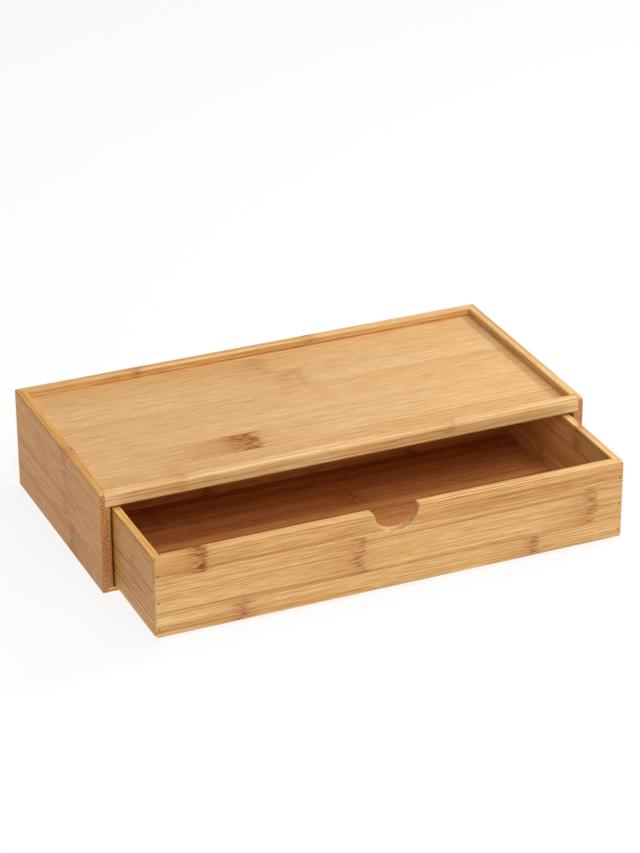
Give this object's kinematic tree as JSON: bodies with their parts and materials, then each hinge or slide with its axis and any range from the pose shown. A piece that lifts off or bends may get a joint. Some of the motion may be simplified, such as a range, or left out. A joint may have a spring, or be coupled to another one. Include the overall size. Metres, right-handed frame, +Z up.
{
  "type": "vanity organizer",
  "caption": "Low rectangular bamboo organizer with a sunken tray top and an inset pull-out drawer with a half-round finger notch.",
  "frame": {"origin": "middle of the case's footprint, on the surface that the organizer stands on", "axes": "+X to the right of a person facing the drawer, -Y out of the case the way the drawer opens, +Z up"},
  "size_m": [0.3, 0.2095, 0.0622],
  "materials": {
    "bamboo_board": "satin lacquer over edge-glued bamboo strips",
    "bamboo_panel": "satin lacquer over a thin bamboo panel",
    "brad_steel": "dull drawn wire"
  },
  "bodies": {
    "case": {"case_side_left": "bamboo_board", "case_side_right": "bamboo_board", "case_back": "bamboo_board", "front_rail": "bamboo_board", "tray_panel": "bamboo_panel", "base_board": "bamboo_panel", "base_brads_left": "brad_steel", "base_brads_right": "brad_steel", "base_brads_back": "brad_steel"},
    "drawer": {"drawer_front": "bamboo_board", "drawer_side_left": "bamboo_board", "drawer_side_right": "bamboo_board", "drawer_back": "bamboo_board", "drawer_floor": "bamboo_panel", "drawer_front_brads_left": "brad_steel", "drawer_front_brads_right": "brad_steel", "drawer_back_brads_left": "brad_steel", "drawer_back_brads_right": "brad_steel"}
  },
  "joints": [
    {"name": "drawer_slide", "type": "slide", "parent": "case", "child": "drawer", "axis": [0, -1, 0], "range_m": [-0.0635, 0.0515]}
  ]
}
